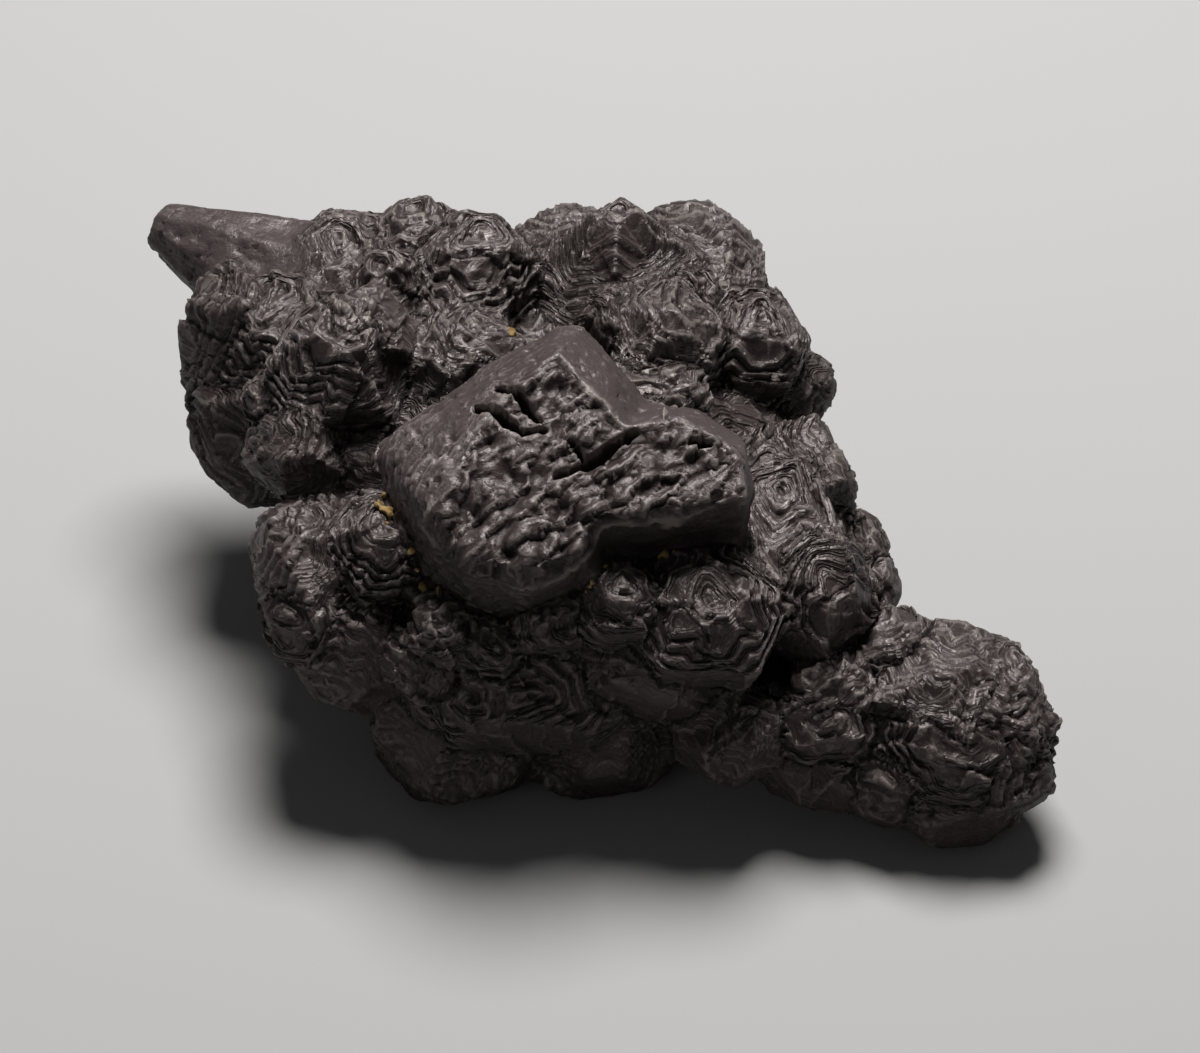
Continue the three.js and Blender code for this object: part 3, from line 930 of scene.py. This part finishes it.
def clay_piece(stone, lumps, finish):
    """Crumbs of clay pressed into the deepest creases near each of the clay's places."""
    random = np.random.default_rng(CLAY_SEED)
    points = read(stone.data.vertices, "co", 3).astype(float) / MM
    normals = read(stone.data.vertices, "normal", 3)
    depth = read_attribute(stone.data, "crevice")
    on_star = read_attribute(stone.data, "star")
    at_star = (np.abs(on_star - CONTACT) < CONTACT_BAND).astype(float)
    flat = lumps.in_frame(points, lumps.star)
    crumbs = bmesh.new()
    for degrees, distance, count in CLAY:
        spot = np.array([math.cos(math.radians(degrees)), math.sin(math.radians(degrees))]) * distance
        near = (np.linalg.norm(flat[:, :2] - spot, axis=1) < CLAY_REACH) & (normals[:, 2] > 0)
        near &= (flat[:, 2] > -CLAY_LOWEST) & (on_star < MOST_STAR)
        order = np.flatnonzero(near)[np.argsort(-(depth + at_star)[near])]
        deepest = order[:len(order) // CLAY_DEEPEST + 1]
        for vertex in random.choice(deepest, count):
            size = random.uniform(*CRUMB_SIZES)
            middle = points[vertex] + normals[vertex] * size * CRUMB_PROUD
            place = Vector(middle + random.normal(0, CRUMB_SPREAD, 3))
            turn = Euler(random.uniform(0, 6, 3))
            stretch = Vector(random.uniform(*CRUMB_STRETCH, 3))
            shape = Matrix.LocRotScale(place, turn, stretch)
            bmesh.ops.create_icosphere(crumbs, subdivisions=2, radius=size, matrix=shape)
    mesh = bpy.data.meshes.new("clay")
    crumbs.to_mesh(mesh)
    crumbs.free()
    piece = new_object("visual_clay", mesh)
    remesh(piece, CLAY_VOXEL)
    points = read(piece.data.vertices, "co", 3)
    noise.seed_set(CLAY_SEED)
    rough = np.array([noise.noise_vector(Vector(point) * CLAY_GRAIN) for point in points])
    piece.data.vertices.foreach_set("co", (points + rough * CLAY_ROUGHNESS).astype(np.float32).ravel())
    piece.data.transform(Matrix.Scale(MM, 4))
    piece.data.polygons.foreach_set("use_smooth", [True] * len(piece.data.polygons))
    piece.data.materials.clear()
    piece.data.materials.append(finish)
    return piece


# ---------------------------------------------------------------------------------------------------------
# Finishes
# ---------------------------------------------------------------------------------------------------------


def ochre_clay():
    """Dull, grainy yellow clay, paler in patches."""
    finish = bpy.data.materials.new("ochre_clay")
    finish.use_nodes = True
    make = Maker(finish.node_tree)
    shader = finish.node_tree.nodes["Principled BSDF"]
    place = make.out(make.node("ShaderNodeTexCoord"), "Object")
    patches, _ = make.noise(place, 0.9 * MM, 3.0)
    grains, _ = make.noise(place, 0.15 * MM, 2.0)
    base = make.mix_colour(make.remap(patches, 0.35, 0.65), DARK_CLAY, PALE_CLAY)
    make.plug(shader.inputs["Base Color"], base)
    shader.inputs["Roughness"].default_value = 0.95
    bump = make.node("ShaderNodeBump", {"Height": grains, "Strength": 0.7, "Distance": 0.08 * MM})
    make.plug(shader.inputs["Normal"], make.out(bump))
    return finish


def iron_oxide():
    """Dark satin iron oxide, with painted light where it looks up, painted highlights on its worn edges,
    flecks and growth lines, and painted shade in its crevices.
    """
    finish = bpy.data.materials.new("iron_oxide")
    finish.use_nodes = True
    make = Maker(finish.node_tree)
    shader = finish.node_tree.nodes["Principled BSDF"]

    def named(name, kind="Fac"):
        return make.out(make.node("ShaderNodeAttribute", attribute_name=name), kind)

    smooth = named("smooth")
    grown = named("grown", "Vector")
    inset = named("inset")
    # How far the skin looks up. It paints light: the tops are paler, and the worn edges, flecks and growth
    # lines get painted highlights where they look up.
    lit = make.remap(named("lift"), -0.1, 0.85)
    # Convex edges are paler, partly as their own wear and more where they look up, as a painted highlight.
    worn_edge_highlight = make.remap(named("edge"), -0.02, -0.09) * (0.35 + lit * 0.65)
    # Painted shade: the deep crevices are darkened to near black.
    shaded_crevice = make.remap(named("crevice"), 0.03, 0.4)
    patches, _ = make.noise(grown, 5.0, 3.0)
    fine, _ = make.noise(grown, 0.3, 3.0, 0.65)
    flecks, _ = make.noise(grown, 0.8, 2.0)
    # Pale flecks on the smooth skin, shown only where it looks up: painted glints.
    fleck_glints = make.remap(flecks, 0.66, 0.74) * smooth * lit
    height = growth_height(make, grown, inset, LINE_BUD)
    small_height = growth_height(make, grown + SMALL_LINES_AT, inset, SMALL_LINE_BUD)
    phase = make.math("FRACT", height / LINE_STEP)
    small_phase = make.math("FRACT", small_height / SMALL_LINE_STEP)
    large_lines = make.remap(phase, 0.05, 0.4, 1.0, 0.0)
    small_lines = make.remap(small_phase, 0.0, 0.4, 0.5, 0.0)
    lines = make.math("MAXIMUM", large_lines, small_lines) * (1.0 - smooth) * (1.0 - named("face"))
    # The growth lines are a little paler everywhere, and much paler where they look up, as painted
    # highlights.
    line_highlights = lines * (0.12 + lit * 0.55) * make.remap(patches, 0.4, 0.6, 0.4, 1.0)

    base = make.mix_colour(make.remap(patches, 0.35, 0.65), DARK_IRON, BROWN_IRON)
    coats = [
        # Painted light on the tops. On the smooth skin its own paler tone shows only where it looks up, so it
        # is painted light too.
        (lit * 0.45, PAINTED_TOP_LIGHT), (lit * smooth * 0.5, SMOOTH_TONE_AND_LIGHT), (fleck_glints * 0.6, PALE_FLECK_GLINTS),
        # Worn edges and growth lines with painted highlights, and the star's pale rim line.
        (worn_edge_highlight * 0.65, WORN_EDGE_HIGHLIGHTS), (line_highlights, GROWTH_LINE_HIGHLIGHTS), (named("line") * 0.7, RIM_LINE),
        # Painted shade in the crevices.
        (shaded_crevice * 0.85, CREVICE_SHADE),
    ]
    for share, colour in coats:
        base = make.mix_colour(share, base, colour)
    make.plug(shader.inputs["Base Color"], base)
    dull = make.remap(fine, 0.3, 0.7, 0.3, 0.48) + shaded_crevice * 0.3 + (1.0 - lit) * 0.2
    make.plug(shader.inputs["Roughness"], dull)
    shader.inputs["IOR"].default_value = 1.5
    shader.inputs["Specular Tint"].default_value = WARM_GLOSS
    ridges = fine * 0.3 + lines * (0.5 + lit * 0.5)
    bump = make.node("ShaderNodeBump", {"Height": ridges, "Strength": 1.0, "Distance": 0.24 * MM})
    make.plug(shader.inputs["Normal"], make.out(bump))
    return finish


# ---------------------------------------------------------------------------------------------------------
# The studio
# ---------------------------------------------------------------------------------------------------------


def stage():
    """A wide, plain, pale floor."""
    floor_mesh = bpy.data.meshes.new("floor")
    half = FLOOR_SIZE / 2
    corners = [(-half, -half, 0), (half, -half, 0), (half, half, 0), (-half, half, 0)]
    floor_mesh.from_pydata(corners, [], [(0, 1, 2, 3)])
    floor = new_object("floor", floor_mesh)
    paper = bpy.data.materials.new("pale_floor")
    paper.use_nodes = True
    shader = paper.node_tree.nodes["Principled BSDF"]
    shader.inputs["Base Color"].default_value = FLOOR_COLOUR
    shader.inputs["Roughness"].default_value = 0.9
    floor_mesh.materials.append(paper)


def area_light(name, at, size, power):
    """A round soft light that looks at the stone."""
    data = bpy.data.lights.new(name, "AREA")
    data.shape = "DISK"
    data.size = size
    data.energy = power
    lamp = new_object(name, data)
    lamp.location = at
    lamp.rotation_euler = (Vector(LIT_PLACE) - Vector(at)).to_track_quat("-Z", "Y").to_euler()


def lights():
    """One large soft light above and behind the stone, a weak one in front, and a faint sky."""
    bpy.context.scene.view_settings.view_transform = "Standard"
    world = bpy.data.worlds.new("studio")
    world.use_nodes = True
    sky = world.node_tree.nodes["Background"]
    sky.inputs["Color"].default_value = SKY_COLOUR
    sky.inputs["Strength"].default_value = SKY_STRENGTH
    bpy.context.scene.world = world
    area_light("overhead softbox", **SOFTBOX)
    area_light("front fill", **FRONT_FILL)


def camera():
    """Looks along +Y and down by the camera's elevation."""
    data = bpy.data.cameras.new("camera")
    data.lens = CAMERA_LENS
    data.sensor_width = CAMERA_SENSOR
    data.clip_start = CAMERA_NEAREST
    eye = new_object("camera", data)
    elevation = math.radians(CAMERA_ELEVATION)
    back = Vector((0, -math.cos(elevation), math.sin(elevation)))
    eye.location = Vector(CAMERA_TARGET) + back * CAMERA_DISTANCE
    eye.rotation_euler = (math.radians(90) - elevation, 0, 0)
    bpy.context.scene.camera = eye


stone, lumps = stone_piece(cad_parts["stone"], iron_oxide())
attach(stone, "root")
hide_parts("stone")
clay = clay_piece(stone, lumps, ochre_clay())
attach(clay, "root")
stage()
lights()
camera()
